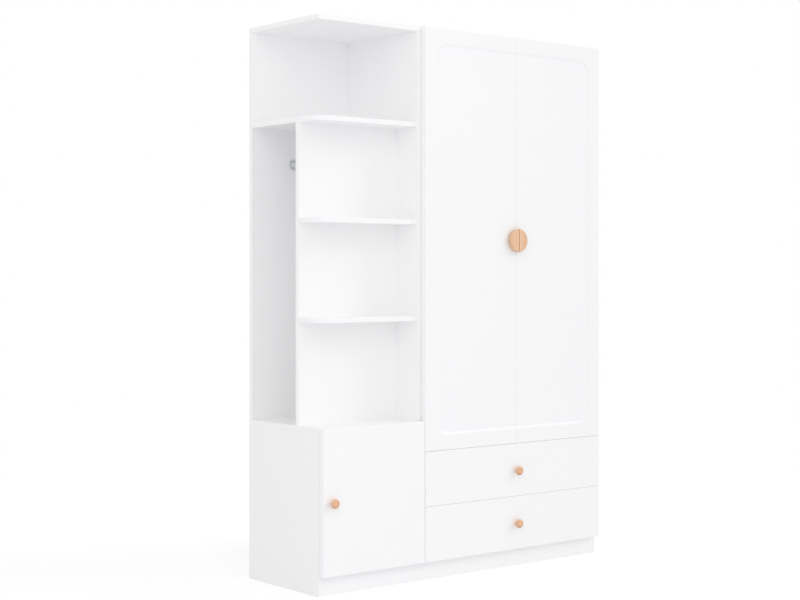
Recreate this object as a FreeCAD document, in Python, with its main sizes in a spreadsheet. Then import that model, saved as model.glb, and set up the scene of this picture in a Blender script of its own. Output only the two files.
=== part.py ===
"""Chifforobe: an open corner unit with shelves, a hidden hanging bay and a small
cupboard, joined to a two-door wardrobe over two drawers.

Frame: millimetres, +Z up, origin on the floor at the middle of the bounding box.
The fronts look along -Y and the corner unit stands on the -X side.
"""
import FreeCAD, Part
import math
import os

import Sketcher

# Driving sizes, in millimetres.
SIZES = {
    # Whole object
    "height": 1800,
    "corner_width": 410,
    "wardrobe_width": 810,
    "carcass_depth": 385,
    # Boards
    "board": 16,
    "thin_board": 5,
    "drawer_board": 12,
    "eased_edge": 0.8,
    "groove_depth": 6,
    "groove_play": 0.15,
    "back_inset": 10,
    # Levels and bays
    "plinth_height": 61,
    "counter_top": 520,
    "lower_bay": 324,
    "middle_bay": 297,
    "upper_bay": 300,
    "short_shelf_depth": 107,
    "shelf_corner": 50,
    "doors_bottom": 420,
    "drawer_split": 241,
    # Fronts
    "front_thick": 22,
    "front_gap": 1,
    "front_round": 2,
    "drawer_round": 1,
    "reveal": 0.6,
    "hinge_inset": 0.9,
    "free_inset": 0.5,
    "door_split": 0.6,
    "recess_margin": 49,
    "recess_corner": 50,
    "recess_depth": 3,
    "bevel_band": 9,
    # Knobs and half-round handles
    "knob_reach": 23,
    "knob_head_wide": 30,
    "knob_head_thick": 10,
    "knob_neck_wide": 10.5,
    "knob_dome_share": 0.75,
    "knob_rear_round": 1.5,
    "knob_drop": 2,
    "small_knob_inset": 36,
    "small_knob_height": 289,
    "handle_wide": 77,
    "handle_thick": 10,
    "handle_stand": 7.5,
    "handle_foot_wide": 12,
    "handle_split": 2,
    "handle_round": 1.2,
    "handle_height": 1110,
    "handle_screw_in": 18,
    "handle_screw_pitch": 32,
    # Cup hinges
    "hinge_end": 80,
    "pin_from_edge": 7,
    "pin_from_face": 5,
    "pin_wide": 2,
    "pin_end_gap": 0.1,
    "cup_wide": 35,
    "cup_centre": 20.5,
    "cup_skin": 2.4,
    "cup_wall": 0.9,
    "cup_floor": 0.7,
    "cup_rim": 0.2,
    "cup_rim_lap": 0.5,
    "cup_ear_wide": 14,
    "cup_ear_span": 56,
    "cup_dowel_wide": 8,
    "cup_dowel_pitch": 45,
    "cup_dowel_deep": 9,
    "arm_wide": 10,
    "arm_thick": 2,
    "arm_reach": 20,
    "arm_setback": 2,
    "arm_length": 44,
    "knuckle_wide": 3.4,
    "mount_plate_thick": 3,
    "mount_plate_wide": 18,
    "mount_plate_length": 38,
    "mount_plate_setback": 6,
    "plate_screw_front": 14,
    "plate_screw_pitch": 22,
    # Drawer boxes and telescopic runners
    "box_lift": 28,
    "box_height": 120,
    "box_rear_gap": 28,
    "base_lift": 10,
    "box_joint_low": 30,
    "box_joint_high": 95,
    "runner_thick": 12.7,
    "runner_high": 44,
    "runner_wall": 1.2,
    "runner_setback": 2,
    "runner_play": 0.4,
    "outer_depth": 9.5,
    "middle_start": 3.6,
    "middle_depth": 7.4,
    "inner_start": 6,
    "runner_screw_front": 40,
    "runner_screw_rear": 45,
    # Hanging rods
    "rod_wide": 25,
    "rod_wall": 1.2,
    "socket_flange": 5.5,
    "socket_base": 3,
    "socket_wall": 2.5,
    "socket_reach": 14,
    "socket_screw_off": 5.5,
    "corner_rod_inset": 165,
    "corner_rod_height": 1359,
    "wardrobe_rod_drop": 76,
    "wardrobe_rod_setback": 190,
    # Fasteners
    "fit_play": 0.05,
    "panel_screw_head": 9,
    "panel_screw_sink": 2.5,
    "panel_screw_wide": 4.8,
    "panel_screw_length": 45,
    "panel_screw_hex": 4,
    "panel_screw_hex_deep": 1.8,
    "dowel_wide": 6,
    "dowel_length": 30,
    "dowel_short_end": 11,
    "fixing_head": 7,
    "fixing_head_thick": 1.8,
    "fixing_wide": 3.5,
    "fixing_length": 11,
    "knob_screw_wide": 4,
    "knob_screw_head": 8.4,
    "knob_screw_head_thick": 2.4,
    "knob_screw_bite": 14.5,
    "tie_wide": 6,
    "tie_bolt_wide": 4,
    "tie_head": 14,
    "tie_head_thick": 1.5,
    "tie_rear_gap": 38,
    "tie_lowest": 200,
    "tie_pitch": 400,
    "tie_gap": 4,
    # Where the panel screws and dowels stand
    "joint_front": 60,
    "joint_rear": 68,
    "joint_left": 100,
    "joint_right": 94,
}

# Planes and levels that follow from the sizes.
PLACES = {
    "left": "-(dim.corner_width + dim.wardrobe_width) / 2",
    "right": "-left",
    "seam": "left + dim.corner_width",
    "rear": "(dim.carcass_depth + dim.front_gap + dim.front_thick + dim.knob_reach) / 2",
    "face": "rear - dim.carcass_depth",
    "front_rear": "face - dim.front_gap",
    "front_face": "front_rear - dim.front_thick",
    "corner_inside": "seam - dim.board",
    "robe_left": "seam + dim.board",
    "robe_right": "right - dim.board",
    "robe_inside": "robe_right - robe_left",
    "back_front": "rear - dim.board",
    "partition_front": "face + dim.short_shelf_depth",
    "partition_rear": "partition_front + dim.board",
    "thin_front": "rear - dim.back_inset - dim.thin_board",
    "counter_under": "dim.counter_top - dim.board",
    "lower_shelf": "dim.counter_top + dim.lower_bay",
    "upper_shelf": "lower_shelf + dim.board + dim.middle_bay",
    "deep_shelf": "upper_shelf + dim.board + dim.upper_bay",
    "top_under": "dim.height - dim.board",
    "divider": "dim.doors_bottom - dim.board / 2",
    "small_left": "left + dim.free_inset",
    "small_edge": "seam - dim.hinge_inset",
    "left_edge": "seam + dim.hinge_inset",
    "right_edge": "right - dim.hinge_inset",
    "meeting": "(left_edge + right_edge) / 2",
    "door_wide": "meeting - dim.door_split / 2 - left_edge",
    "small_low": "dim.plinth_height + dim.reveal / 2",
    "small_high": "dim.counter_top - dim.reveal / 2",
    "door_low": "dim.doors_bottom + dim.reveal / 2",
    "door_high": "dim.height - dim.reveal / 2",
    "knob_front_round": "dim.knob_dome_share * dim.knob_head_thick",
    "pin_deep": "dim.front_thick - dim.pin_from_face",
    "pin_line": "front_rear - pin_deep",
    "cup_off": "dim.cup_centre - dim.pin_from_edge",
    "cup_half_chord": "sqrt((dim.cup_wide / 2)^2 - (cup_off + dim.pin_wide / 2)^2)",
    "pin_length": "2 * (cup_half_chord - dim.pin_end_gap)",
    "cup_deep": "dim.front_thick - dim.cup_skin",
    "face_off": "pin_deep + dim.front_gap",
    "panel_off": "dim.board - dim.hinge_inset - dim.pin_from_edge",
    "leg_off": "panel_off + dim.mount_plate_thick",
    "arm_start": "face_off + dim.arm_setback",
    "box_left": "robe_left + dim.runner_thick",
    "box_right": "robe_right - dim.runner_thick",
    "box_length": "dim.carcass_depth - dim.back_inset - dim.thin_board - dim.box_rear_gap + dim.front_gap",
    "box_rear": "front_rear + box_length",
    "runner_length": "box_length - dim.front_gap - 2 * dim.runner_setback",
    "runner_front": "face + dim.runner_setback",
    "runner_screw_last": "runner_length - dim.runner_screw_rear",
    "runner_screw_middle": "(dim.runner_screw_front + runner_screw_last) / 2",
    "rod_reach": "dim.socket_base + dim.fit_play",
    "corner_rod_line": "left + dim.corner_rod_inset",
    "robe_rod_line": "face + dim.wardrobe_rod_setback",
    "robe_rod_level": "top_under - dim.wardrobe_rod_drop",
    "tie_line": "rear - dim.tie_rear_gap",
    "mid_board": "dim.board / 2",
    "corner_inner_wide": "corner_inside - left",
    "corner_inner_deep": "dim.carcass_depth - dim.board",
    "floor_top": "dim.plinth_height + dim.board",
    "cup_start": "pin_deep - cup_deep + 2 * dim.fit_play",
    "cup_outside": "dim.cup_wide - 2 * dim.fit_play",
    "fixing_hole": "dim.fixing_wide + 2 * dim.fit_play",
}

TURNS = {
    "+x": FreeCAD.Rotation(),
    "-x": FreeCAD.Rotation(FreeCAD.Vector(0, 0, 1), 180),
    "+y": FreeCAD.Rotation(FreeCAD.Vector(0, 0, 1), 90),
    "-y": FreeCAD.Rotation(FreeCAD.Vector(0, 0, 1), -90),
    "+z": FreeCAD.Rotation(FreeCAD.Vector(0, 1, 0), -90),
    "-z": FreeCAD.Rotation(FreeCAD.Vector(0, 1, 0), 90),
    "flipped": FreeCAD.Rotation(FreeCAD.Vector(0, 1, 0), 180),
}
ORIGIN = ("0", "0", "0")
RUNNER_SCREWS = ("dim.runner_screw_front", "place.runner_screw_middle", "place.runner_screw_last")

doc = FreeCAD.newDocument("chifforobe")
nodes = []
drilling = {}


# ---------------------------------------------------------------- helpers

def fill_sheet(name, cells):
    """Write a sheet of named cells; a cell that starts with = is worked out."""
    sheet = doc.addObject("Spreadsheet::Sheet", name)
    for row, (alias, value) in enumerate(cells.items(), start=1):
        sheet.set(f"A{row}", alias)
        sheet.set(f"B{row}", str(value))
        sheet.setAlias(f"B{row}", alias)
    doc.recompute()
    return sheet


def put(item, spot, turn="+x"):
    """Turn an object, then bind its position to three expressions."""
    item.Placement = FreeCAD.Placement(FreeCAD.Vector(), TURNS[turn])
    for axis, value in zip("xyz", spot):
        item.setExpression(f"Placement.Base.{axis}", value)
    return item


def box(corner, size):
    solid = doc.addObject("Part::Box", "block")
    for side, value in zip(("Length", "Width", "Height"), size):
        solid.setExpression(side, value)
    return put(solid, corner)


def cylinder(spot, direction, wide, length):
    """A cylinder of the given diameter that starts at spot and runs along direction."""
    solid = doc.addObject("Part::Cylinder", "round_bar")
    solid.setExpression("Radius", f"({wide}) / 2")
    solid.setExpression("Height", length)
    lay = FreeCAD.Rotation(FreeCAD.Vector(0, 1, 0), 90)
    put(solid, spot)
    solid.Placement.Rotation = TURNS[direction].multiply(lay)
    return solid


def fused(*pieces):
    union = doc.addObject("Part::MultiFuse", "union")
    union.Shapes = list(pieces)
    return union


def grouped(*pieces):
    group = doc.addObject("Part::Compound", "group")
    group.Links = list(pieces)
    return group


def cut(base, *tools):
    result = doc.addObject("Part::Cut", "cut")
    result.Base = base
    result.Tool = grouped(*tools)
    return result


def copy_of(template, spot, turn="+x"):
    return put(grouped(template), spot, turn)


def add_node(label, item):
    """Drill the object where its joints need it, and keep it as a sub-part."""
    if label in drilling:
        item = cut(item, *drilling[label])
    item.Label = label
    nodes.append(item)
    return item


def drill(tool, *labels):
    for label in labels:
        drilling.setdefault(label, []).append(tool)


# ------------------------------------------------------- sketches and bodies

def sketch_on(body, role, offset="0"):
    """A sketch on one of the body's own origin planes, raised by offset."""
    sketch = body.newObject("Sketcher::SketchObject", "sketch")
    plane = [item for item in body.Origin.OriginFeatures if item.Role == role][0]
    sketch.AttachmentSupport = [(plane, "")]
    sketch.MapMode = "FlatFace"
    sketch.setExpression("AttachmentOffset.Base.z", offset)
    return sketch


def bind(sketch, kind, value, *where):
    now = float(sketch.evalExpression(value))
    index = sketch.addConstraint(Sketcher.Constraint(kind, *where, now))
    sketch.setExpression(f"Constraints[{index}]", value)


def draw_rectangle(sketch, wide, high, start=None):
    """A rectangle from the sketch's origin, or from a start given by two expressions."""
    corners = [FreeCAD.Vector(x, y, 0) for x, y in ((0, 0), (1, 0), (1, 1), (0, 1))]
    for index in range(4):
        sketch.addGeometry(Part.LineSegment(corners[index], corners[(index + 1) % 4]))
    for index in range(4):
        sketch.addConstraint(Sketcher.Constraint("Coincident", index, 2, (index + 1) % 4, 1))
        sketch.addConstraint(Sketcher.Constraint(("Horizontal", "Vertical")[index % 2], index))
    bind(sketch, "DistanceX", wide, 0, 1, 0, 2)
    bind(sketch, "DistanceY", high, 1, 1, 1, 2)
    if start is None:
        sketch.addConstraint(Sketcher.Constraint("Coincident", 0, 1, -1, 1))
    else:
        bind(sketch, "DistanceX", start[0], -1, 1, 0, 1)
        bind(sketch, "DistanceY", start[1], -1, 1, 0, 1)


def draw_circle(sketch, wide, centre=None):
    """A circle about the sketch's origin, or about a centre given by two expressions."""
    index = sketch.addGeometry(Part.Circle(FreeCAD.Vector(), FreeCAD.Vector(0, 0, 1), 1))
    if centre is None:
        sketch.addConstraint(Sketcher.Constraint("Coincident", index, 3, -1, 1))
    else:
        bind(sketch, "DistanceX", centre[0], -1, 1, index, 3)
        bind(sketch, "DistanceY", centre[1], -1, 1, index, 3)
    bind(sketch, "Diameter", wide, index)


def draw_recess(sketch):
    """The door's panel outline: round corners on the outer side, open past the other."""
    margin = float(dim.recess_margin)
    radius = float(dim.recess_corner)
    high = float(place.door_high) - float(place.door_low) - margin
    far = float(place.door_wide) + margin
    turn = margin + radius
    lines = (((turn, margin), (far, margin)), ((far, margin), (far, high)),
             ((far, high), (turn, high)), ((margin, high - radius), (margin, turn)))
    for start, stop in lines:
        sketch.addGeometry(Part.LineSegment(FreeCAD.Vector(*start, 0), FreeCAD.Vector(*stop, 0)))
    for level, start_angle in ((high - radius, math.pi / 2), (turn, math.pi)):
        circle = Part.Circle(FreeCAD.Vector(turn, level, 0), FreeCAD.Vector(0, 0, 1), radius)
        sketch.addGeometry(Part.ArcOfCircle(circle, start_angle, start_angle + math.pi / 2))
    bottom, end, top, side, upper_arc, lower_arc = range(6)
    for first, second in ((bottom, end), (end, top)):
        sketch.addConstraint(Sketcher.Constraint("Coincident", first, 2, second, 1))
    for first, second in ((top, upper_arc), (upper_arc, side), (side, lower_arc), (lower_arc, bottom)):
        sketch.addConstraint(Sketcher.Constraint("Tangent", first, 2, second, 1))
    for line, kind in ((bottom, "Horizontal"), (top, "Horizontal"), (end, "Vertical")):
        sketch.addConstraint(Sketcher.Constraint(kind, line))
    for arc in (upper_arc, lower_arc):
        bind(sketch, "Radius", "dim.recess_corner", arc)
    bind(sketch, "DistanceX", "dim.recess_margin", -1, 1, side, 1)
    bind(sketch, "DistanceY", "dim.recess_margin", -1, 1, bottom, 1)
    bind(sketch, "DistanceY", "place.door_high - place.door_low - dim.recess_margin", -1, 1, top, 1)
    bind(sketch, "DistanceX", "place.door_wide + dim.recess_margin", -1, 1, end, 1)


def pad(body, sketch, length):
    feature = body.newObject("PartDesign::Pad", "pad")
    feature.Profile = sketch
    feature.setExpression("Length", length)
    doc.recompute()
    return feature


def pocket(body, sketch, length, taper=None):
    """A pocket into the solid, checked to have taken material away."""
    before = body.Tip.Shape.Volume
    feature = body.newObject("PartDesign::Pocket", "pocket")
    feature.Profile = sketch
    feature.setExpression("Length", length)
    if taper:
        feature.setExpression("TaperAngle", taper)
    doc.recompute()
    if feature.Shape.Volume >= before:
        raise RuntimeError(f"{body.Label}: pocket took nothing away")
    return feature


def runs_along(edge, axis, where):
    """True for an edge parallel to axis with the given coordinates, by axis letter."""
    spans = {"x": edge.BoundBox.XLength, "y": edge.BoundBox.YLength, "z": edge.BoundBox.ZLength}
    long_enough = spans.pop(axis) > 1
    straight = max(spans.values()) < 1e-4
    middle = edge.BoundBox.Center
    placed = all(abs(getattr(middle, letter) - value) < 1e-4 for letter, value in where.items())
    return long_enough and straight and placed


def round_edges(body, radius, wanted):
    """Fillet the edges of the body's tip for which wanted(edge) is true."""
    base = body.Tip
    names = [f"Edge{index}" for index, edge in enumerate(base.Shape.Edges, start=1) if wanted(edge)]
    if not names:
        raise RuntimeError(f"{body.Label}: no edge to round")
    feature = body.newObject("PartDesign::Fillet", "fillet")
    feature.Base = (base, names)
    feature.setExpression("Radius", radius)
    doc.recompute()
    return feature


def board_body(corner, size, eased=(), round_corner=False):
    """A board from its lowest corner, with eased edges given as (direction, plane) pairs.

    ("x", "y") eases the edges that run along X and lie in the board's own y = 0 face.
    """
    body = doc.addObject("PartDesign::Body", "board")
    outline = sketch_on(body, "XY_Plane")
    draw_rectangle(outline, size[0], size[1])
    pad(body, outline, size[2])
    if round_corner:
        round_edges(body, "dim.shelf_corner", lambda edge: runs_along(edge, "z", {"x": 0, "y": 0}))
    for direction, plane in eased:
        round_edges(body, "dim.eased_edge", lambda edge: runs_along(edge, direction, {plane: 0}))
    return put(body, corner)


def slab_body(corner, wide, high, rounding="dim.front_round"):
    """A front: it stands on the XZ plane, reaches forwards, and has all edges rounded."""
    body = doc.addObject("PartDesign::Body", "front")
    outline = sketch_on(body, "XZ_Plane")
    draw_rectangle(outline, wide, high)
    pad(body, outline, "dim.front_thick")
    round_edges(body, rounding, lambda edge: True)
    return put(body, corner)


# ------------------------------------------------------------- fasteners

def panel_screw_template():
    head = cylinder(ORIGIN, "+x", "dim.panel_screw_head", "dim.panel_screw_sink")
    shank = cylinder(ORIGIN, "+x", "dim.panel_screw_wide", "dim.panel_screw_length")
    socket = doc.addObject("Part::Prism", "hex_socket")
    socket.Polygon = 6
    socket.setExpression("Circumradius", "dim.panel_screw_hex / 2")
    socket.setExpression("Height", "dim.panel_screw_hex_deep")
    socket.Placement.Rotation = FreeCAD.Rotation(FreeCAD.Vector(0, 1, 0), 90)
    return cut(fused(head, shank), socket)


def panel_screw_drill():
    sink = cylinder(ORIGIN, "+x", "dim.panel_screw_head + 2 * dim.fit_play",
                    "dim.panel_screw_sink")
    hole = cylinder(ORIGIN, "+x", "dim.panel_screw_wide + 2 * dim.fit_play",
                    "dim.panel_screw_length + dim.fit_play")
    return fused(sink, hole)


def dowel_template(play):
    start = f"-(dim.dowel_short_end + {play})"
    return cylinder((start, "0", "0"), "+x", f"dim.dowel_wide + 2 * {play}",
                    f"dim.dowel_length + 2 * {play}")


def fixing_screw_template():
    head = cylinder(("-dim.fixing_head_thick", "0", "0"), "+x", "dim.fixing_head",
                    "dim.fixing_head_thick")
    shank = cylinder(ORIGIN, "+x", "dim.fixing_wide", "dim.fixing_length")
    return fused(head, shank)


def fixing_drill():
    return cylinder(ORIGIN, "+x", "dim.fixing_wide + 2 * dim.fit_play",
                    "dim.fixing_length + dim.fit_play")


def joined(kind, spot, direction, *labels):
    """Put one fastener at spot, and drill the named sub-parts for it."""
    screw, bit = fasteners[kind]
    drill(copy_of(bit, spot, direction), *labels)
    return copy_of(screw, spot, direction)


def machine_screw(grip, spot, *labels):
    """A screw from behind a front into its knob or handle; grip is the front's thickness."""
    length = f"{grip} + dim.knob_screw_bite"
    head = cylinder(("-dim.knob_screw_head_thick", "0", "0"), "+x", "dim.knob_screw_head",
                    "dim.knob_screw_head_thick")
    screw = fused(head, cylinder(ORIGIN, "+x", "dim.knob_screw_wide", length))
    bit = cylinder(ORIGIN, "+x", "dim.knob_screw_wide + 2 * dim.fit_play",
                   f"{length} + dim.fit_play")
    drill(copy_of(bit, spot, "-y"), *labels)
    return copy_of(screw, spot, "-y")


# ------------------------------------------------------------- corner unit

def corner_boards():
    """The open unit's boards, each as label, lowest corner, size, eased edges, round corner."""
    wide = "place.corner_inner_wide"
    deep = "place.corner_inner_deep"
    return [
        ("corner_top", ("place.left", "place.face", "place.top_under"),
         ("dim.corner_width", "dim.carcass_depth", "dim.board"), (("x", "y"), ("y", "x")), False),
        ("corner_side_right", ("place.corner_inside", "place.face", "0"),
         ("dim.board", "dim.carcass_depth", "place.top_under"), (("z", "y"),), False),
        ("corner_back", ("place.left", "place.back_front", "0"),
         (wide, "dim.board", "place.top_under"), (("z", "x"),), False),
        ("corner_deep_shelf", ("place.left", "place.face", "place.deep_shelf"),
         (wide, deep, "dim.board"), (("x", "y"),), True),
        ("corner_upper_shelf", ("place.left", "place.face", "place.upper_shelf"),
         (wide, "dim.short_shelf_depth", "dim.board"), (("x", "y"),), True),
        ("corner_lower_shelf", ("place.left", "place.face", "place.lower_shelf"),
         (wide, "dim.short_shelf_depth", "dim.board"), (("x", "y"),), True),
        ("corner_partition", ("place.left", "place.partition_front", "dim.counter_top"),
         (wide, "dim.board", "place.deep_shelf - dim.counter_top"), (("z", "x"),), False),
        ("corner_counter", ("place.left", "place.face", "place.counter_under"),
         (wide, deep, "dim.board"), (("x", "y"), ("y", "x")), False),
        ("corner_side_left", ("place.left", "place.face", "0"),
         ("dim.board", deep, "place.counter_under"), (("z", "y"),), False),
        ("corner_floor", ("place.left + dim.board", "place.face", "dim.plinth_height"),
         (f"{wide} - dim.board", deep, "dim.board"), (("x", "y"),), False),
        ("corner_plinth", ("place.left + dim.board", "place.face", "0"),
         (f"{wide} - dim.board", "dim.board", "dim.plinth_height"), (), False),
    ]


def wardrobe_boards():
    wide = "place.robe_inside"
    front = (("x", "y"),)
    return [
        ("wardrobe_side_left", ("place.seam", "place.face", "0"),
         ("dim.board", "dim.carcass_depth", "dim.height"), (("z", "y"),), False),
        ("wardrobe_side_right", ("place.robe_right", "place.face", "0"),
         ("dim.board", "dim.carcass_depth", "dim.height"), (("z", "y"),), False),
        ("wardrobe_top", ("place.robe_left", "place.face", "place.top_under"),
         (wide, "dim.carcass_depth", "dim.board"), front, False),
        ("wardrobe_divider", ("place.robe_left", "place.face", "place.divider"),
         (wide, "place.thin_front - place.face", "dim.board"), front, False),
        ("wardrobe_floor", ("place.robe_left", "place.face", "dim.plinth_height"),
         (wide, "dim.carcass_depth", "dim.board"), front, False),
        ("wardrobe_plinth", ("place.robe_left", "place.face", "0"),
         (wide, "dim.board", "dim.plinth_height"), (), False),
    ]


def corner_screws():
    """Panel screws from the hidden faces of the side, the back and the partition."""
    ends = ["place.face + dim.joint_front", "place.rear - dim.joint_rear"]
    across = ["place.left + dim.joint_left", "place.corner_inside - dim.joint_right"]
    deep_boards = {"corner_deep_shelf": "place.deep_shelf + place.mid_board",
                   "corner_counter": "place.counter_under + place.mid_board",
                   "corner_floor": "dim.plinth_height + place.mid_board"}
    short_shelves = {"corner_upper_shelf": "place.upper_shelf + place.mid_board",
                     "corner_lower_shelf": "place.lower_shelf + place.mid_board"}
    partition_line = "place.partition_front + place.mid_board"
    back_line = "place.rear - place.mid_board"

    from_side = [(y, z, label) for label, z in deep_boards.items() for y in ends]
    from_side += [("place.face + dim.short_shelf_depth / 2", z, label) for label, z in short_shelves.items()]
    from_side += [(partition_line, z, "corner_partition")
                  for z in ("dim.counter_top + dim.lower_bay / 2", "place.deep_shelf - dim.upper_bay / 2")]
    from_side += [(back_line, z, "corner_back")
                  for z in ("place.counter_under / 2", "place.lower_shelf", "place.upper_shelf")]
    from_side += [("place.face + place.mid_board", "dim.plinth_height / 2", "corner_plinth")]
    screws = [joined("panel", ("place.seam", y, z), "-x", "corner_side_right", label)
              for y, z, label in from_side]

    from_back = [(x, z, label) for label, z in deep_boards.items() for x in across]
    from_back += [("place.left + place.mid_board", z, "corner_side_left")
                  for z in ("dim.plinth_height + dim.joint_left", "place.counter_under - dim.joint_left")]
    screws += [joined("panel", (x, "place.rear", z), "-y", "corner_back", label)
               for x, z, label in from_back]
    screws += [joined("panel", (x, "place.partition_rear", z), "-y", "corner_partition", label)
               for label, z in short_shelves.items() for x in across]
    return screws


def wardrobe_screws():
    ends = ["place.face + dim.joint_front", "place.rear - dim.joint_rear"]
    levels = {"wardrobe_top": "place.top_under + place.mid_board",
              "wardrobe_divider": "place.divider + place.mid_board",
              "wardrobe_floor": "dim.plinth_height + place.mid_board"}
    spots = [(y, z, label) for label, z in levels.items() for y in ends]
    spots += [("place.face + place.mid_board", "dim.plinth_height / 2", "wardrobe_plinth")]
    screws = []
    for x, turn, side in (("place.seam", "+x", "wardrobe_side_left"),
                          ("place.right", "-x", "wardrobe_side_right")):
        screws += [joined("panel", (x, y, z), turn, side, label) for y, z, label in spots]
    return screws


def corner_dowels():
    """Dowels where no screw head may show: under the top, at the partition, at the left side."""
    ends = ["place.face + dim.joint_front", "place.rear - dim.joint_rear"]
    across = ["place.left + dim.joint_left", "place.corner_inside - dim.joint_right"]
    partition_line = "place.partition_front + place.mid_board"
    side_line = "place.left + place.mid_board"
    right_line = "place.corner_inside + place.mid_board"
    back_line = "place.rear - place.mid_board"
    side_face = "place.left + dim.board"
    joints = [((right_line, y, "place.top_under"), "-z", "corner_top", "corner_side_right") for y in ends]
    joints += [((x, back_line, "place.top_under"), "-z", "corner_top", "corner_back") for x in across]
    joints += [((x, partition_line, "place.deep_shelf"), "-z", "corner_deep_shelf", "corner_partition")
               for x in across]
    joints += [((x, partition_line, "dim.counter_top"), "+z", "corner_counter", "corner_partition")
               for x in across]
    joints += [((side_line, y, "place.counter_under"), "-z", "corner_counter", "corner_side_left")
               for y in ends]
    joints += [((side_face, y, "dim.plinth_height + place.mid_board"), "+x", "corner_side_left",
                "corner_floor") for y in ends]
    joints += [((side_face, "place.face + place.mid_board", "dim.plinth_height / 2"), "+x",
                "corner_side_left", "corner_plinth")]
    return [joined("dowel", spot, turn, first, second) for spot, turn, first, second in joints]


def unit_ties():
    """Sleeve nuts and bolts that clamp the two units side by side."""
    through = "2 * dim.board"
    bore = "dim.tie_bolt_wide + 2 * dim.fit_play"
    near_head = cylinder(("-dim.tie_head_thick", "0", "0"), "+x", "dim.tie_head", "dim.tie_head_thick")
    barrel = cylinder(ORIGIN, "+x", "dim.tie_wide", f"{through} - dim.tie_gap")
    sleeve = cut(fused(near_head, barrel), cylinder(ORIGIN, "+x", bore, through))
    far_head = cylinder((through, "0", "0"), "+x", "dim.tie_head", "dim.tie_head_thick")
    shank = cylinder(("dim.tie_gap", "0", "0"), "+x", "dim.tie_bolt_wide", f"{through} - dim.tie_gap")
    tie = grouped(sleeve, fused(far_head, shank))
    hole = cylinder(ORIGIN, "+x", "dim.tie_wide + 2 * dim.fit_play", through)
    ties = []
    for index in range(4):
        spot = ("place.robe_left", "place.tie_line", f"dim.tie_lowest + {index} * dim.tie_pitch")
        drill(copy_of(hole, spot, "-x"), "wardrobe_side_left", "corner_side_right")
        ties.append(copy_of(tie, spot, "-x"))
    return ties


def back_and_groove():
    """The wardrobe's thin back, and the groove that holds its four edges."""
    deep = "dim.groove_depth"
    play = "dim.groove_play"
    groove = box((f"place.robe_left - {deep}", f"place.thin_front - {play}", f"place.floor_top - {deep}"),
                 (f"place.robe_inside + 2 * {deep}", f"dim.thin_board + 2 * {play}",
                  f"place.top_under - place.floor_top + 2 * {deep}"))
    drill(groove, "wardrobe_side_left", "wardrobe_side_right", "wardrobe_top", "wardrobe_floor")
    held = f"({deep} - {play})"
    return box((f"place.robe_left - {held}", "place.thin_front", f"place.floor_top - {held}"),
               (f"place.robe_inside + 2 * {held}", "dim.thin_board",
                f"place.top_under - place.floor_top + 2 * {held}"))


# -------------------------------------------------------------- hanging rods

def socket_template():
    base = cylinder(ORIGIN, "+x", "dim.rod_wide + 2 * dim.socket_flange", "dim.socket_base")
    collar = cylinder(ORIGIN, "+x", "dim.rod_wide + 2 * dim.socket_wall", "dim.socket_reach")
    bore = cylinder(("dim.socket_base", "0", "0"), "+x", "dim.rod_wide + 2 * dim.fit_play",
                    "dim.socket_reach")
    holes = [cylinder(("0", "0", f"{sign}dim.socket_screw_off"), "+x", "place.fixing_hole",
                      "dim.socket_base") for sign in ("", "-")]
    return cut(fused(base, collar), bore, *holes)


def rod(spot, turn, span):
    """A tube between two sockets that stand span apart."""
    length = f"{span} - 2 * place.rod_reach"
    tube = cylinder(ORIGIN, "+x", "dim.rod_wide", length)
    inside = cylinder(ORIGIN, "+x", "dim.rod_wide - 2 * dim.rod_wall", length)
    return put(cut(tube, inside), spot, turn)


def hanging_rods():
    """Both rods and their four sockets, and the sockets' screws."""
    corner = "place.corner_rod_line"
    level = "dim.corner_rod_height"
    line = "place.robe_rod_line"
    high = "place.robe_rod_level"
    add_node("corner_rod", rod((corner, "place.partition_rear + place.rod_reach", level), "+y",
                               "(place.back_front - place.partition_rear)"))
    add_node("wardrobe_rod", rod(("place.robe_left + place.rod_reach", line, high), "+x",
                                 "place.robe_inside"))
    seats = [((corner, "place.partition_rear", level), "+y", "-y", "corner_partition"),
             ((corner, "place.back_front", level), "-y", "+y", "corner_back"),
             (("place.robe_left", line, high), "+x", "-x", "wardrobe_side_left"),
             (("place.robe_right", line, high), "-x", "+x", "wardrobe_side_right")]
    template = socket_template()
    add_node("rod_sockets", grouped(*[copy_of(template, spot, turn) for spot, turn, _, _ in seats]))
    screws = []
    for (x, y, z), turn, inward, label in seats:
        lift = f" {turn[0]} dim.socket_base"
        seat = (x + lift, y) if turn[1] == "x" else (x, y + lift)
        screws += [joined("fixing", (*seat, f"{z} {sign} dim.socket_screw_off"), inward, label)
                   for sign in "+-"]
    return screws


# --------------------------------------------------------------- cup hinges

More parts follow.
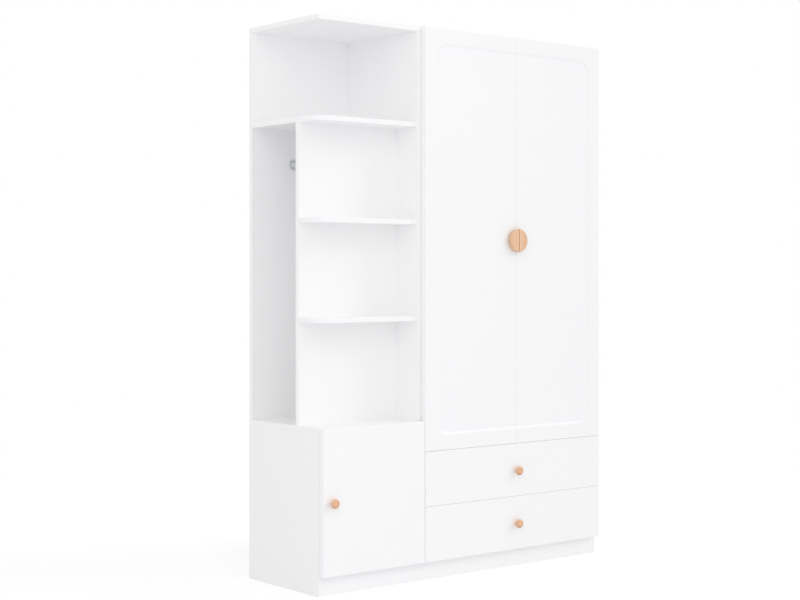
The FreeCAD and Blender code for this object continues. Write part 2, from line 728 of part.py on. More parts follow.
def hinge_templates():
    """Arm, mounting plate, pin and cup about the pin's axis, for a door that hangs on its left."""
    half = "-dim.arm_wide / 2"
    low = "-dim.knuckle_wide / 2"
    thick = "dim.arm_thick"
    wide = "dim.arm_wide"
    screw_lines = ["place.arm_start + dim.plate_screw_front",
                   "place.arm_start + dim.plate_screw_front + dim.plate_screw_pitch"]
    holes = [cylinder(("place.panel_off", y, "0"), "+x", "place.fixing_hole",
                      f"dim.mount_plate_thick + {thick}") for y in screw_lines]
    pin_hole = cylinder(("0", "0", "-dim.cup_wide"), "+z", "dim.pin_wide + 2 * dim.fit_play",
                        "2 * dim.cup_wide")
    arm = fused(cylinder(("0", "0", half), "+z", "dim.knuckle_wide", wide),
                box(("0", low, half), ("dim.arm_reach", thick, wide)),
                box((f"dim.arm_reach - {thick}", low, half),
                    (thick, f"place.arm_start + {thick} + dim.knuckle_wide / 2", wide)),
                box(("place.leg_off", "place.arm_start", half),
                    ("dim.arm_reach - place.leg_off", thick, wide)),
                box(("place.leg_off", "place.arm_start", half), (thick, "dim.arm_length", wide)))
    plate = box(("place.panel_off", "place.arm_start + dim.mount_plate_setback", "-dim.mount_plate_wide / 2"),
                ("dim.mount_plate_thick", "dim.mount_plate_length", "dim.mount_plate_wide"))
    pin = cylinder(("0", "0", "-place.pin_length / 2"), "+z", "dim.pin_wide", "place.pin_length")

    shell = cylinder(("place.cup_off", "place.cup_start", "0"), "+y", "place.cup_outside",
                     "place.pin_deep - place.cup_start")
    rim = cylinder(("place.cup_off", "place.pin_deep", "0"), "+y", "dim.cup_wide + 2 * dim.cup_rim_lap",
                   "dim.cup_rim")
    ears = box(("place.cup_off - dim.cup_ear_wide / 2", "place.pin_deep", "-dim.cup_ear_span / 2"),
               ("dim.cup_ear_wide", "dim.cup_rim", "dim.cup_ear_span"))
    plugs = [cylinder(("place.cup_off", "place.pin_deep - dim.cup_dowel_deep",
                       f"{sign}dim.cup_dowel_pitch / 2"), "+y", "dim.cup_dowel_wide",
                      "dim.cup_dowel_deep") for sign in ("", "-")]
    hollow = cylinder(("place.cup_off", "place.cup_start + dim.cup_floor", "0"), "+y",
                      "place.cup_outside - 2 * dim.cup_wall", "dim.cup_wide")
    cup = cut(fused(shell, rim, ears, *plugs), hollow, pin_hole)
    return cut(arm, pin_hole, *holes), cut(plate, *holes), pin, cup


def hang_doors():
    """Every hinge: arms, plates and pins on the carcass, cups in the three doors."""
    arm, plate, pin, cup = hinge_templates()
    middle = "(place.door_low + place.door_high) / 2"
    door_levels = ["place.door_low + dim.hinge_end", middle, "place.door_high - dim.hinge_end"]
    small_levels = ["place.small_low + dim.hinge_end", "place.small_high - dim.hinge_end"]
    doors = [("small_door", "place.small_edge", "-", small_levels, "corner_side_right"),
             ("left_door", "place.left_edge", "+", door_levels, "wardrobe_side_left"),
             ("right_door", "place.right_edge", "-", door_levels, "wardrobe_side_right")]
    arms, plates, pins, screws = [], [], [], []
    for door, edge, sign, levels, side in doors:
        turn = "+x" if sign == "+" else "flipped"
        inward = "-x" if sign == "+" else "+x"
        cups = []
        for level in levels:
            axis = (f"{edge} {sign} dim.pin_from_edge", "place.pin_line", level)
            arms.append(copy_of(arm, axis, turn))
            plates.append(copy_of(plate, axis, turn))
            pins.append(copy_of(pin, axis, turn))
            cups.append(copy_of(cup, axis, turn))
            centre = f"{edge} {sign} dim.cup_centre"
            drill(cylinder((centre, "place.front_rear", level), "-y", "dim.cup_wide", "place.cup_deep"),
                  door)
            for side_sign in "+-":
                plug_level = f"{level} {side_sign} dim.cup_dowel_pitch / 2"
                drill(cylinder((centre, "place.front_rear", plug_level), "-y",
                               "dim.cup_dowel_wide + 2 * dim.fit_play",
                               "dim.cup_dowel_deep + dim.fit_play"), door)
            seat = f"{axis[0]} {sign} (place.leg_off + dim.arm_thick)"
            start = "place.pin_line + place.arm_start + dim.plate_screw_front"
            screws += [joined("fixing", (seat, y, level), inward, side)
                       for y in (start, f"{start} + dim.plate_screw_pitch")]
        add_node(f"{door}_cups", grouped(*cups))
    add_node("hinge_arms", grouped(*arms))
    add_node("hinge_plates", grouped(*plates))
    add_node("hinge_pins", grouped(*pins))
    return screws


# ------------------------------------------------- doors, knobs and handles

def knob_body():
    """A turned knob on the XZ plane, reaching forwards: a neck under a rounded head."""
    body = doc.addObject("PartDesign::Body", "knob")
    neck = sketch_on(body, "XZ_Plane")
    draw_circle(neck, "dim.knob_neck_wide")
    pad(body, neck, "dim.knob_reach - dim.knob_head_thick / 2")
    head = sketch_on(body, "XZ_Plane", "dim.knob_reach - dim.knob_head_thick")
    draw_circle(head, "dim.knob_head_wide")
    pad(body, head, "dim.knob_head_thick")
    reach = float(dim.knob_reach)
    rear = reach - float(dim.knob_head_thick)

    def rim_at(depth):
        wide = float(dim.knob_head_wide)
        return lambda edge: (abs(edge.BoundBox.Center.y + depth) < 1e-4
                             and abs(edge.BoundBox.XLength - wide) < 1e-3
                             and edge.BoundBox.YLength < 1e-4)
    round_edges(body, "place.knob_front_round", rim_at(reach))
    round_edges(body, "dim.knob_rear_round", rim_at(rear))
    return body


def handle_body():
    """Half of a round wooden pull on two feet, flat side towards the doors' meeting line at x = 0."""
    body = doc.addObject("PartDesign::Body", "handle")
    disc = sketch_on(body, "XZ_Plane", "dim.handle_stand")
    draw_circle(disc, "dim.handle_wide")
    pad(body, disc, "dim.handle_thick")
    front = -float(dim.handle_stand) - float(dim.handle_thick)
    round_edges(body, "dim.handle_round",
                lambda edge: abs(edge.BoundBox.Center.y - front) < 1e-4 and edge.BoundBox.YLength < 1e-4)
    other_half = sketch_on(body, "XZ_Plane", "dim.handle_stand + dim.handle_thick")
    draw_rectangle(other_half, "dim.handle_wide", "2 * dim.handle_wide",
                   ("-dim.handle_split / 2", "-dim.handle_wide"))
    pocket(body, other_half, "dim.handle_thick")
    round_edges(body, "dim.eased_edge", lambda edge: runs_along(edge, "z", {"y": front}))
    feet = sketch_on(body, "XZ_Plane")
    for sign in ("", "-"):
        draw_circle(feet, "dim.handle_foot_wide",
                    ("-dim.handle_screw_in", f"{sign}dim.handle_screw_pitch / 2"))
    pad(body, feet, "dim.handle_stand")
    return body


def door_body():
    """A wardrobe door from its outer lower corner: a slab with its part of the shallow panel."""
    body = slab_body(ORIGIN, "place.door_wide", "place.door_high - place.door_low")
    panel = sketch_on(body, "XZ_Plane", "dim.front_thick")
    draw_recess(panel)
    pocket(body, panel, "dim.recess_depth", "-atan(dim.bevel_band / dim.recess_depth)")
    return body


def doors():
    knob = knob_body()
    handle = handle_body()
    door = door_body()

    knob_x = "place.left + dim.small_knob_inset"
    knob_z = "dim.small_knob_height"
    screw = machine_screw("dim.front_thick", (knob_x, "place.front_rear", knob_z),
                          "small_door", "small_door_knob")
    add_node("small_door", slab_body(("place.small_left", "place.front_rear", "place.small_low"),
                                     "place.small_edge - place.small_left",
                                     "place.small_high - place.small_low"))
    add_node("small_door_knob", copy_of(knob, (knob_x, "place.front_face", knob_z)))
    add_node("small_door_screw", screw)

    for side, turn, sign, start in (("left", "+x", "-", ("place.left_edge", "place.door_low")),
                                    ("right", "flipped", "+", ("place.right_edge", "place.door_high"))):
        x = f"place.meeting {sign} dim.handle_screw_in"
        screws = [machine_screw("(dim.front_thick - dim.recess_depth)",
                                (x, "place.front_rear", f"dim.handle_height {up} dim.handle_screw_pitch / 2"),
                                f"{side}_door", f"{side}_door_handle") for up in "+-"]
        add_node(f"{side}_door", copy_of(door, (start[0], "place.front_rear", start[1]), turn))
        seat = ("place.meeting", "place.front_face + dim.recess_depth", "dim.handle_height")
        add_node(f"{side}_door_handle", copy_of(handle, seat, turn))
        add_node(f"{side}_door_screws", grouped(*screws))
    return knob


# ------------------------------------------------------------------ drawers

def runner_template(web_start, lip_start, lip_reach, inset):
    """A channel as long as the runner, drilled for its screws; inset narrows it to nest."""
    half = f"(dim.runner_high / 2 - {inset})"
    wall = "dim.runner_wall"
    length = "place.runner_length"
    channel = fused(box((web_start, "0", f"-{half}"), (wall, length, f"2 * {half}")),
                    box((lip_start, "0", f"{half} - {wall}"), (lip_reach, length, wall)),
                    box((lip_start, "0", f"-{half}"), (lip_reach, length, wall)))
    holes = [cylinder((web_start, screw_line, "0"), "+x", "place.fixing_hole", wall)
             for screw_line in RUNNER_SCREWS]
    return cut(channel, *holes)


def runner_screws(level, seat_off, turns, labels):
    """Screws at both sides of a drawer; seat_off is their seat's distance from the carcass side."""
    screws = []
    for x, sign, turn, label in (("place.robe_left", "+", turns[0], labels[0]),
                                 ("place.robe_right", "-", turns[1], labels[1])):
        screws += [joined("fixing", (f"{x} {sign} {seat_off}", f"place.runner_front + {screw_line}", level),
                          turn, label) for screw_line in RUNNER_SCREWS]
    return screws


def drawers(knob):
    """Both drawers, and the fixed halves of their runners; returns the carcass's screws."""
    nest = "(dim.runner_wall + dim.runner_play)"
    outer = runner_template("0", "0", "dim.outer_depth", "0")
    middle = runner_template("dim.middle_start", "dim.middle_start", "dim.middle_depth", nest)
    inner = runner_template("dim.runner_thick - dim.runner_wall", "dim.inner_start",
                            "dim.runner_thick - dim.inner_start", f"2 * {nest}")
    fixed_runners = []
    fixed_screws = []
    for name, low, high in (("lower", "dim.plinth_height", "dim.drawer_split"),
                            ("upper", "dim.drawer_split", "dim.doors_bottom")):
        bottom = f"{low} + dim.box_lift"
        level = f"{bottom} + dim.box_height / 2"
        spots = [(("place.robe_left", "place.runner_front", level), "+x"),
                 (("place.robe_right", "place.runner_front", level), "flipped")]
        fixed_runners += [copy_of(outer, *spot) for spot in spots]
        fixed_screws += runner_screws(level, "dim.runner_wall", ("-x", "+x"),
                                      ("wardrobe_side_left", "wardrobe_side_right"))
        add_node(f"{name}_drawer_middle_runners", grouped(*[copy_of(middle, *spot) for spot in spots]))
        add_node(f"{name}_drawer_inner_runners", grouped(*[copy_of(inner, *spot) for spot in spots]))
        drawer_box(f"{name}_drawer", low, high, bottom, level, knob)
    add_node("drawer_fixed_runners", grouped(*fixed_runners))
    return fixed_screws


def drawer_box(name, low, high, bottom, level, knob):
    """One drawer: front, knob, two sides, back, base in its groove, and what joins them."""
    wall = "dim.drawer_board"
    inside = f"(place.box_right - place.box_left - 2 * {wall})"
    deep = "dim.groove_depth"
    play = "dim.groove_play"
    knob_z = f"({low} + {high}) / 2 - dim.knob_drop"

    groove = box((f"place.box_left + {wall} - {deep}", f"place.front_rear - {deep}",
                  f"{bottom} + dim.base_lift - {play}"),
                 (f"{inside} + 2 * {deep}", f"place.box_length + {deep}", f"dim.thin_board + 2 * {play}"))
    drill(groove, f"{name}_front", f"{name}_side_left", f"{name}_side_right")

    fasteners_here = [machine_screw("dim.front_thick", ("place.meeting", "place.front_rear", knob_z),
                                    f"{name}_front", f"{name}_knob")]
    fasteners_here += runner_screws(level, "(dim.runner_thick - dim.runner_wall)", ("+x", "-x"),
                                    (f"{name}_side_left", f"{name}_side_right"))
    for lift in ("dim.box_joint_low", "dim.box_joint_high"):
        z = f"{bottom} + {lift}"
        for x, side, turn, sign in (("place.box_left", "side_left", "+x", "+"),
                                    ("place.box_right", "side_right", "-x", "-")):
            fasteners_here.append(joined("panel", (x, f"place.box_rear - {wall} / 2", z), turn,
                                         f"{name}_{side}", f"{name}_back"))
            fasteners_here.append(joined("dowel", (f"{x} {sign} {wall} / 2", "place.front_rear", z), "+y",
                                         f"{name}_{side}", f"{name}_front"))

    add_node(f"{name}_front", slab_body(("place.left_edge", "place.front_rear", f"{low} + dim.reveal / 2"),
                                        "place.right_edge - place.left_edge",
                                        f"{high} - {low} - dim.reveal", "dim.drawer_round"))
    add_node(f"{name}_knob", copy_of(knob, ("place.meeting", "place.front_face", knob_z)))
    side_size = (wall, "place.box_length", "dim.box_height")
    add_node(f"{name}_side_left", board_body(("place.box_left", "place.front_rear", bottom), side_size))
    add_node(f"{name}_side_right",
             board_body((f"place.box_right - {wall}", "place.front_rear", bottom), side_size))
    above_base = f"dim.base_lift + dim.thin_board + {play}"
    add_node(f"{name}_back", board_body((f"place.box_left + {wall}", f"place.box_rear - {wall}",
                                         f"{bottom} + {above_base}"),
                                        (inside, wall, f"dim.box_height - ({above_base})")))
    held = f"({deep} - {play})"
    add_node(f"{name}_base", box((f"place.box_left + {wall} - {held}", f"place.front_rear - {held}",
                                  f"{bottom} + dim.base_lift"),
                                 (f"{inside} + 2 * {held}", f"place.box_length + {held} - {play}",
                                  "dim.thin_board")))
    add_node(f"{name}_fasteners", grouped(*fasteners_here))


# ------------------------------------------------------------ the whole object

def check_and_export():
    """Stop on any failed object; then write each sub-part to its own file."""
    doc.recompute()
    for item in doc.Objects:
        if {"Invalid", "Error"} & set(item.State):
            raise RuntimeError(f"{item.Name} ({item.Label}) is in state {item.State}")
    for item in nodes:
        if item.Shape.isNull() or not item.Shape.isValid():
            raise RuntimeError(f"{item.Label} has no valid shape")
    os.makedirs("parts", exist_ok=True)
    for item in nodes:
        item.Shape.exportStep(f"parts/{item.Label}.step")
    print(f"{len(nodes)} sub-parts written")


dim = fill_sheet("dim", SIZES)
place = fill_sheet("place", {alias: f"={formula}" for alias, formula in PLACES.items()})
fasteners = {
    "panel": (panel_screw_template(), panel_screw_drill()),
    "dowel": (dowel_template("0"), dowel_template("dim.fit_play")),
    "fixing": (fixing_screw_template(), fixing_drill()),
}

panel_screws = corner_screws() + wardrobe_screws()
dowels = corner_dowels()
ties = unit_ties()
thin_back = back_and_groove()
fixing_screws = hanging_rods() + hang_doors()
fixing_screws += drawers(doors())
for label, corner, size, eased, round_corner in corner_boards() + wardrobe_boards():
    add_node(label, board_body(corner, size, eased, round_corner))
add_node("wardrobe_back", thin_back)
add_node("panel_screws", grouped(*panel_screws))
add_node("dowels", grouped(*dowels))
add_node("unit_ties", grouped(*ties))
add_node("fixing_screws", grouped(*fixing_screws))
check_and_export()
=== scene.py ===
"""The chifforobe's looks: white lacquered boards, light wood pulls and plated metal, in a plain
white studio. Lengths are in metres, colours are linear, and patterns are in features per metre."""

import math

import bpy
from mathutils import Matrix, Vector


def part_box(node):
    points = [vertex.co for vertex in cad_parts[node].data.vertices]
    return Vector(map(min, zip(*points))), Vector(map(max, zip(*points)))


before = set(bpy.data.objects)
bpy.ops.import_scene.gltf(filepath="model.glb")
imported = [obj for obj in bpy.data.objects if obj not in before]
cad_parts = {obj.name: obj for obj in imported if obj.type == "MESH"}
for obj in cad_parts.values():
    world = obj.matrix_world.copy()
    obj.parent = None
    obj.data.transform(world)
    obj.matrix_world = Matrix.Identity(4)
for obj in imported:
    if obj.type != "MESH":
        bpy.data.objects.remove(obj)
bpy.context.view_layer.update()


# -------------------------------------------------------- colours and gloss

def rgb(red, green, blue):
    return (red, green, blue, 1.0)


MM = 0.001
WHITE = rgb(1.0, 1.0, 1.0)

# White surfaces have a low and a high tone, which run into each other in soft patches.
LACQUER_TONES = rgb(0.946, 0.948, 0.961), rgb(0.954, 0.955, 0.965)
LACQUER_EDGE = rgb(0.95, 0.945, 0.93)
LACQUER_ROUGH = 0.30, 0.40
LACQUER_IOR = 1.48
BOARD_TONES = rgb(0.948, 0.950, 0.962), rgb(0.956, 0.957, 0.966)
BOARD_EDGE = rgb(0.945, 0.94, 0.925)
BOARD_ROUGH = 0.40, 0.52
BOARD_IOR = 1.47
BOARD_EMBOSS = 0.12
THIN_TONES = rgb(0.89, 0.892, 0.898), rgb(0.905, 0.907, 0.912)
THIN_EMBOSS = 0.3
FLOOR_TONES = rgb(0.893, 0.896, 0.908), rgb(0.903, 0.906, 0.918)

# Beech: its tones, how far each pattern is squeezed along the grain, the bounds between which
# it shows and its greatest share.
BEECH_TONES = rgb(0.80, 0.50, 0.305), rgb(0.86, 0.575, 0.375)
BEECH_RING = rgb(0.70, 0.395, 0.215)
BEECH_STREAK = rgb(0.74, 0.43, 0.24)
BEECH_PORE = rgb(0.50, 0.27, 0.14)
BEECH_EDGE = rgb(0.90, 0.64, 0.44)
# Painted shade on a pull's sides and underside, and painted light on its top.
BEECH_SIDE_SHADE = rgb(0.50, 0.29, 0.18)
BEECH_UNDER_SHADE = rgb(0.46, 0.25, 0.15)
BEECH_TOP_LIGHT = rgb(0.97, 0.74, 0.57)
BEECH_POLISHED = rgb(0.95, 0.62, 0.42)
# painted shade in the gap between a handle's two halves
BEECH_GAP_SHADE = rgb(0.40, 0.20, 0.11)
BEECH_ROUGH = 0.42, 0.56
BEECH_IOR = 1.5
STREAK_SQUEEZE, RING_SQUEEZE, PORE_SQUEEZE = 0.07, 0.16, 0.14
STREAK_SHARE, RING_SHARE, PORE_SHARE = 0.40, 0.30, 0.28
STREAK_HEIGHT, PORE_HEIGHT = 0.5, -0.6
BROAD_BOUNDS = 0.32, 0.68
RING_BOUNDS = 0.2, 1.0
STREAK_BOUNDS = 0.45, 0.75
PORE_BOUNDS = 0.62, 0.72
SEED_STEPS = 1.0, 0.7, 0.3            # how a piece's seed moves its patterns along x, y and z

# Where a pull gets painted shade on its sides, below and in the gap between its halves, painted
# light on top, or hand polish: bounds of how squarely its surface faces front or back (0 to 1)
# or up (-1 to 1), and of the distance from the plane where its two halves meet.
SIDE_SHADE_BOUNDS = 0.35, 0.98
UNDER_SHADE_BOUNDS = -0.9, 0.1
TOP_LIGHT_BOUNDS = 0.1, 0.9
POLISHED_BOUNDS = 0.8, 0.98
GAP_SHADE_BOUNDS = 0.1, 0.6
MEETING_BOUNDS = 2 * MM, 8 * MM
POLISHED_SHARE, GAP_SHADE_SHARE = 0.5, 0.55
TOP_LIGHT_PER_UNDER_SHADE = 0.7              # painted light on a pull's top grows with its painted shade below
KNOB_WASH = rgb(1.0, 0.93, 0.93)
# shares of painted shade on a knob's sides and underside
KNOB_SIDE_SHADE = 0.2
KNOB_UNDER_SHADE = 0.55

ZINC_TONE = rgb(0.70, 0.71, 0.73)
ZINC_ROUGH = 0.26, 0.40
RUNNER_TONE = rgb(0.72, 0.73, 0.74)
RUNNER_ROUGH = 0.24, 0.36
CHROME_TONE = rgb(0.80, 0.81, 0.83)
CHROME_ROUGH = 0.10, 0.20
DRAWN_SHADE = 0.86, 0.86, 0.87

NOISE_BOUNDS = 0.3, 0.7               # nearly all of a noise pattern lies between these
EDGE_BOUNDS = 0.52, 0.60              # pointiness of an eased edge of board
WOOD_EDGE_BOUNDS = 0.52, 0.62


# ------------------------------------------------------------ node helpers

MIX_FACTOR, MIX_FIRST, MIX_SECOND, MIX_RESULT = 0, 6, 7, 2    # colour sockets of the Mix node


class Tree:
    """The nodes of a material or a world, with short ways to add and wire them."""

    def __init__(self, owner):
        self.owner = owner
        owner.use_nodes = True
        self.nodes = owner.node_tree.nodes
        self.links = owner.node_tree.links
        self.nodes.clear()

    def add(self, kind, inputs=None, **settings):
        made = self.nodes.new(kind)
        for key, value in settings.items():
            setattr(made, key, value)
        for key, value in (inputs or {}).items():
            self.feed(made.inputs[key], value)
        return made

    def feed(self, socket, value):
        if isinstance(value, bpy.types.NodeSocket):
            self.links.new(value, socket)
        else:
            socket.default_value = value

    def math(self, operation, first, second=0.0):
        return self.add("ShaderNodeMath", {0: first, 1: second}, operation=operation).outputs[0]

    def remap(self, value, bounds, at_low=0.0, at_high=1.0, curve="SMOOTHSTEP"):
        """Goes from at_low to at_high as value crosses its bounds, and stays there beyond them."""
        low, high = bounds
        return self.add("ShaderNodeMapRange", {"Value": value, "From Min": low, "From Max": high,
                                               "To Min": at_low, "To Max": at_high},
                        interpolation_type=curve).outputs["Result"]

    def mix(self, factor, first, second, blend="MIX"):
        return self.add("ShaderNodeMix", {MIX_FACTOR: factor, MIX_FIRST: first, MIX_SECOND: second},
                        data_type="RGBA", blend_type=blend).outputs[MIX_RESULT]

    def stain(self, tone, colour, value, bounds, at_low=0.0, at_high=1.0):
        """tone with a share of colour, from at_low to at_high as value crosses its bounds."""
        return self.mix(self.remap(value, bounds, at_low, at_high), tone, colour)

    def mottle(self, where, tones, scale):
        """A low and a high tone that run into each other in soft patches."""
        return self.stain(*tones, self.noise(where, scale), NOISE_BOUNDS)

    def wear(self, tone, colour, most, bounds=EDGE_BOUNDS):
        """tone with up to most of colour along the eased edges."""
        edge = self.add("ShaderNodeNewGeometry").outputs["Pointiness"]
        return self.stain(tone, colour, edge, bounds, at_high=most)

    def place(self, scale=(1, 1, 1), shift=(0, 0, 0)):
        """The object's own coordinates, stretched by scale and then moved by shift."""
        source = self.add("ShaderNodeTexCoord").outputs["Object"]
        return self.add("ShaderNodeMapping", {"Vector": source, "Scale": scale,
                                              "Location": shift}).outputs["Vector"]

    def noise(self, where, scale, detail=3.0, rough=0.5, distortion=0.0):
        return self.add("ShaderNodeTexNoise", {"Vector": where, "Scale": scale, "Detail": detail,
                                               "Roughness": rough,
                                               "Distortion": distortion}).outputs[0]

    def bump(self, height, strength, distance, before=None):
        made = self.add("ShaderNodeBump", {"Height": height, "Strength": strength,
                                           "Distance": distance})
        if before is not None:
            self.feed(made.inputs["Normal"], before)
        return made.outputs["Normal"]

    def glow(self, strength):
        return self.add("ShaderNodeEmission", {"Color": WHITE, "Strength": strength}).outputs[0]

    def seen(self):
        """1 for what is seen, directly or in gloss or glass, and 0 for light that falls."""
        path = self.add("ShaderNodeLightPath").outputs
        shown = self.math("MAXIMUM", path["Is Camera Ray"], path["Is Glossy Ray"])
        return self.math("MAXIMUM", shown, path["Is Transmission Ray"])

    def surface(self, shader, output="ShaderNodeOutputMaterial"):
        """Wires the shader to an output, and returns the finished material or world."""
        self.feed(self.add(output).inputs["Surface"], shader)
        return self.owner

    def principled(self, **inputs):
        named = {key.replace("_", " "): value for key, value in inputs.items()}
        return self.surface(self.add("ShaderNodeBsdfPrincipled", named).outputs[0])


def drawn_out(axis, squeeze):
    """The scale of a pattern that runs along one axis, where it is squeezed."""
    scale = [1.0, 1.0, 1.0]
    scale["xyz".index(axis)] = squeeze
    return scale


# --------------------------------------------------------------- materials

def lacquer(name):
    """Sprayed satin lacquer on the doors and drawer fronts: faint orange peel, no grain."""
    tree = Tree(bpy.data.materials.new(name))
    where = tree.place()
    tone = tree.mottle(where, LACQUER_TONES, scale=2.2)
    tone = tree.wear(tone, LACQUER_EDGE, most=0.25)
    smears = tree.noise(where, scale=9.0, detail=4.0)
    peel = tree.noise(where, scale=420.0, detail=2.0, rough=0.4)
    dust = tree.noise(where, scale=1700.0, detail=1.0)
    normal = tree.bump(dust, strength=0.05, distance=0.1 * MM)
    normal = tree.bump(peel, strength=0.10, distance=0.4 * MM, before=normal)
    rough = tree.remap(smears, NOISE_BOUNDS, *LACQUER_ROUGH)
    return tree.principled(Base_Color=tone, Roughness=rough, Normal=normal, IOR=LACQUER_IOR)


def melamine(name, along, tones, emboss):
    """White board facing with a fine, faint emboss that runs along one axis."""
    tree = Tree(bpy.data.materials.new(name))
    where = tree.place()
    tone = tree.mottle(where, tones, scale=1.7)
    tone = tree.wear(tone, BOARD_EDGE, most=0.3)
    smears = tree.noise(where, scale=14.0, detail=4.0)
    run = tree.place(drawn_out(along, squeeze=0.06))
    lines = tree.noise(run, scale=900.0, rough=0.6)
    rough = tree.remap(smears, NOISE_BOUNDS, *BOARD_ROUGH)
    normal = tree.bump(lines, strength=emboss, distance=0.3 * MM)
    return tree.principled(Base_Color=tone, Roughness=rough, Normal=normal, IOR=BOARD_IOR)


def polished_and_gap_shaded(tree, tone, facing, meets_at):
    """Near the plane x = meets_at, where two halves meet, hand polish brightens the faces and
    painted shade darkens the cut sides, in the gap between the halves."""
    across = tree.add("ShaderNodeSeparateXYZ", {0: tree.place()}).outputs["X"]
    away = tree.math("ABSOLUTE", tree.math("SUBTRACT", across, meets_at))
    near = tree.remap(away, MEETING_BOUNDS, at_low=1.0, at_high=0.0)
    polished = tree.remap(facing, POLISHED_BOUNDS, at_low=0.0, at_high=POLISHED_SHARE)
    # painted shade on the cut sides, in the gap between the halves
    gap_shade = tree.remap(facing, GAP_SHADE_BOUNDS, at_low=GAP_SHADE_SHARE, at_high=0.0)
    tone = tree.mix(tree.math("MULTIPLY", near, polished), tone, BEECH_POLISHED)
    return tree.mix(tree.math("MULTIPLY", near, gap_shade), tone, BEECH_GAP_SHADE)


def beech(name, seed, wash=WHITE, side=0.12, under=0.12, meets_at=None):
    """Oiled light beech: long streaks, soft rings and short pores, all upright. Painted shade
    darkens its sides and its underside, and painted light brightens its top; side and under say how
    much.
    wash multiplies every tone."""
    tree = Tree(bpy.data.materials.new(name))
    shift = [seed * step for step in SEED_STEPS]
    run = tree.place(drawn_out("z", STREAK_SQUEEZE), shift)
    streak = tree.noise(run, scale=210.0, detail=5.0, rough=0.62, distortion=0.5)
    broad = tree.noise(run, scale=46.0, distortion=0.9)
    rings = tree.add("ShaderNodeTexWave",
                     {"Vector": tree.place(drawn_out("z", RING_SQUEEZE), shift), "Scale": 55.0,
                      "Distortion": 5.0, "Detail": 3.0, "Detail Scale": 1.4},
                     wave_type="BANDS", bands_direction="X", wave_profile="SAW").outputs[0]
    pores = tree.noise(tree.place(drawn_out("z", PORE_SQUEEZE), shift),
                       scale=1500.0, detail=1.0, rough=0.4)
    pores = tree.remap(pores, PORE_BOUNDS)

    tone = tree.stain(*BEECH_TONES, broad, BROAD_BOUNDS)
    tone = tree.stain(tone, BEECH_RING, rings, RING_BOUNDS, at_high=RING_SHARE)
    tone = tree.stain(tone, BEECH_STREAK, streak, STREAK_BOUNDS, at_high=STREAK_SHARE)
    tone = tree.mix(tree.math("MULTIPLY", pores, PORE_SHARE), tone, BEECH_PORE)
    tone = tree.wear(tone, BEECH_EDGE, most=0.25, bounds=WOOD_EDGE_BOUNDS)

    outward = tree.add("ShaderNodeTexCoord").outputs["Normal"]
    outward = tree.add("ShaderNodeSeparateXYZ", {0: outward}).outputs
    facing, up = tree.math("ABSOLUTE", outward["Y"]), outward["Z"]
    # painted shade on the sides and below, and painted light on top
    tone = tree.stain(tone, BEECH_SIDE_SHADE, facing, SIDE_SHADE_BOUNDS, at_low=side, at_high=0.0)
    tone = tree.stain(tone, BEECH_UNDER_SHADE, up, UNDER_SHADE_BOUNDS, at_low=under, at_high=0.0)
    tone = tree.stain(tone, BEECH_TOP_LIGHT, up, TOP_LIGHT_BOUNDS,
                      at_high=TOP_LIGHT_PER_UNDER_SHADE * under)
    # hand polish, and painted shade in the gap between the halves
    if meets_at is not None:
        tone = polished_and_gap_shaded(tree, tone, facing, meets_at)
    tone = tree.mix(1.0, tone, wash, blend="MULTIPLY")

    rough = tree.remap(streak, NOISE_BOUNDS, *BEECH_ROUGH)
    height = tree.math("ADD", tree.math("MULTIPLY", streak, STREAK_HEIGHT),
                       tree.math("MULTIPLY", pores, PORE_HEIGHT))
    normal = tree.bump(height, strength=0.22, distance=0.3 * MM)
    return tree.principled(Base_Color=tone, Roughness=rough, Normal=normal, IOR=BEECH_IOR)


def plated(name, tone, rough_bounds, along="z"):
    """Plated steel with fine drawing lines along one axis and handling smudges."""
    tree = Tree(bpy.data.materials.new(name))
    run = tree.place(drawn_out(along, squeeze=0.03))
    lines = tree.noise(run, scale=1400.0, detail=2.0, rough=0.6)
    smudges = tree.noise(tree.place(), scale=35.0, detail=4.0)
    shaded = rgb(*(part * shade for part, shade in zip(tone, DRAWN_SHADE)))
    tone = tree.stain(tone, shaded, lines, NOISE_BOUNDS, at_high=0.35)
    rough = tree.remap(smudges, NOISE_BOUNDS, *rough_bounds)
    normal = tree.bump(lines, strength=0.06, distance=0.2 * MM)
    return tree.principled(Base_Color=tone, Metallic=1.0, Roughness=rough, Normal=normal)


FRONTS = ("small_door", "left_door", "right_door", "upper_drawer_front", "lower_drawer_front")
THIN_BOARDS = ("wardrobe_back", "upper_drawer_base", "lower_drawer_base")
BRIGHT = ("corner_rod", "wardrobe_rod", "rod_sockets")
ZINC_WORDS = ("screw", "fasteners", "hinge", "cups", "ties")
DOORS_MEET = (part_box("left_door")[1][0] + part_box("right_door")[0][0]) / 2

LACQUER = lacquer("white_lacquer")
BOARDS = [melamine("white_board_" + axis, axis, BOARD_TONES, BOARD_EMBOSS) for axis in "xyz"]
THIN = melamine("thin_white_board", "z", THIN_TONES, THIN_EMBOSS)
ZINC = plated("zinc_steel", ZINC_TONE, ZINC_ROUGH)
RUNNER = plated("runner_steel", RUNNER_TONE, RUNNER_ROUGH, along="y")
CHROME = plated("bright_metal", CHROME_TONE, CHROME_ROUGH)
DOWEL = beech("dowel_wood", seed=3.7)
PULLS = {node: beech(wood, seed, KNOB_WASH, KNOB_SIDE_SHADE, KNOB_UNDER_SHADE)
         for node, wood, seed in (("small_door_knob", "knob_wood_a", 0.0),
                                  ("upper_drawer_knob", "knob_wood_b", 1.3),
                                  ("lower_drawer_knob", "knob_wood_c", 2.1))}
PULLS.update((node, beech(wood, seed, meets_at=DOORS_MEET))
             for node, wood, seed in (("left_door_handle", "handle_wood_left", 4.4),
                                      ("right_door_handle", "handle_wood_right", 5.2)))


def longest_side(name):
    low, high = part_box(name)
    spans = high - low
    return max(range(3), key=lambda index: spans[index])


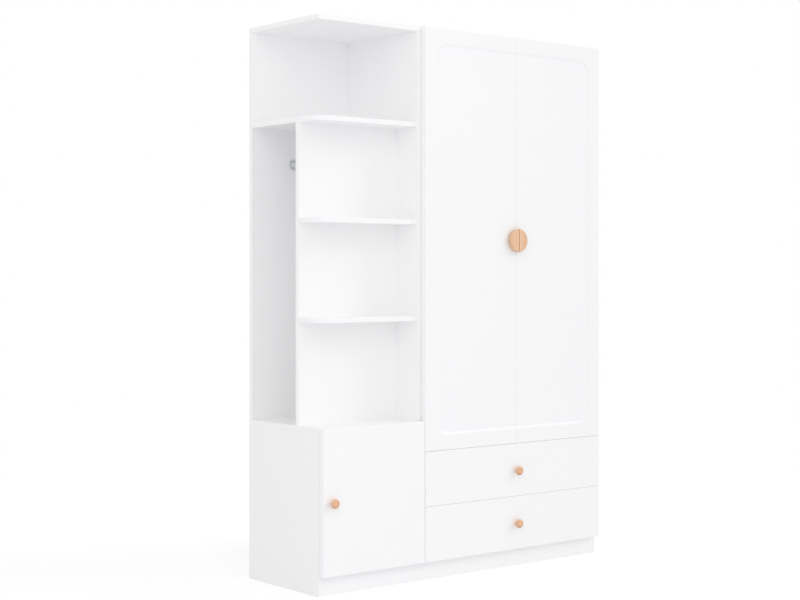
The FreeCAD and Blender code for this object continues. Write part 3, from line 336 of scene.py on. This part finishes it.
def finish_for(name):
    """A node's material; a board's facing runs along its longest side."""
    if name in PULLS:
        return PULLS[name]
    if name in FRONTS:
        return LACQUER
    if name in THIN_BOARDS:
        return THIN
    if name in BRIGHT:
        return CHROME
    if name == "dowels":
        return DOWEL
    if "runners" in name:
        return RUNNER
    if any(word in name for word in ZINC_WORDS):
        return ZINC
    return BOARDS[longest_side(name)]


for name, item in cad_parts.items():
    item.data.materials.clear()
    item.data.materials.append(finish_for(name))


# ------------------------------------------------------------- the studio

WORLD_LEVEL = 0.835                   # strength of the surround's light; it is seen as 1
FLOOR_LIFT = 0.2                      # added to what is seen of the floor
FLOOR_REACH = 30.0
FADE_BOUNDS = 1.6, 3.2                # distance from the object's middle
KEY_SHINES = -1.5, 1.0, -1.0
KEY_STRENGTH = 0.40
KEY_ANGLE_DEG = 24.0
FILL_PLACE = -2.7, -3.0, 2.6
FILL_AIM = 0.0, -0.2, 1.0
FILL_WATTS = 22.5
FILL_WIDE = 3.0
DIFFUSE_BOUNCES = 12


def show(name, data):
    item = bpy.data.objects.new(name, data)
    bpy.context.scene.collection.objects.link(item)
    return item


def surround():
    """An even white surround; the camera, gloss and glass see it as pure white."""
    tree = Tree(bpy.data.worlds.new("studio"))
    level = tree.remap(tree.seen(), (0.0, 1.0), at_low=WORLD_LEVEL, curve="LINEAR")
    sky = tree.add("ShaderNodeBackground", {"Color": WHITE, "Strength": level}).outputs[0]
    return tree.surface(sky, "ShaderNodeOutputWorld")


def floor_paint():
    """Pale paint. What is seen of it is lifted a little, and fades into the surround far out."""
    tree = Tree(bpy.data.materials.new("floor_paint"))
    where = tree.place()
    tone = tree.mottle(where, FLOOR_TONES, scale=60.0)
    paint = tree.add("ShaderNodeBsdfDiffuse", {"Color": tone}).outputs[0]
    seen = tree.seen()
    lift = tree.glow(tree.math("MULTIPLY", seen, FLOOR_LIFT))
    near = tree.add("ShaderNodeAddShader", {0: paint, 1: lift}).outputs[0]
    away = tree.add("ShaderNodeVectorMath", {0: where}, operation="LENGTH").outputs["Value"]
    fade = tree.math("MULTIPLY", tree.remap(away, FADE_BOUNDS), seen)
    both = tree.add("ShaderNodeMixShader", {0: fade, 1: near, 2: tree.glow(1.0)}).outputs[0]
    return tree.surface(both)


def floor():
    """A large flat floor below the object."""
    mesh = bpy.data.meshes.new("floor")
    signs = (-1, -1), (1, -1), (1, 1), (-1, 1)
    corners = [(x * FLOOR_REACH, y * FLOOR_REACH, 0) for x, y in signs]
    mesh.from_pydata(corners, [], [range(len(corners))])
    mesh.materials.append(floor_paint())
    item = show("floor", mesh)


def lamp(name, kind, energy, shines, place=(0, 0, 0)):
    """A lamp at place that shines along a direction."""
    data = bpy.data.lights.new(name, kind)
    data.energy = energy
    item = show(name, data)
    item.location = place
    item.rotation_euler = Vector(shines).to_track_quat("-Z", "Y").to_euler()
    return item


bpy.context.scene.world = surround()
floor()
key = lamp("key", "SUN", KEY_STRENGTH, KEY_SHINES)
key.data.angle = math.radians(KEY_ANGLE_DEG)
fill = lamp("fill", "AREA", FILL_WATTS, Vector(FILL_AIM) - Vector(FILL_PLACE), FILL_PLACE)
fill.data.size = FILL_WIDE
fill.visible_camera = False
fill.visible_glossy = False
bpy.context.scene.cycles.diffuse_bounces = DIFFUSE_BOUNCES


# ------------------------------------------------------------- the camera

# One perspective fit of the photo's long edges gave these, in pixels of its frame.
PHOTO_WIDE, PHOTO_HIGH = 800, 600
LENS_PX = 1545.5
HORIZON_ROW = 272.88
YAW_DEG = -39.12
EYE = -3.4198, -4.0218, 0.9999
SENSOR_MM = 36.0
FAR_CLIP = 60.0

camera_data = bpy.data.cameras.new("camera")
camera_data.sensor_width = SENSOR_MM
camera_data.lens = LENS_PX / PHOTO_WIDE * SENSOR_MM
camera_data.shift_y = (HORIZON_ROW - PHOTO_HIGH / 2) / PHOTO_WIDE
camera_data.clip_end = FAR_CLIP
camera = show("camera", camera_data)
camera.location = EYE
camera.rotation_euler = (math.pi / 2, 0.0, math.radians(YAW_DEG))
bpy.context.scene.camera = camera
bpy.context.scene.view_settings.view_transform = "Standard"
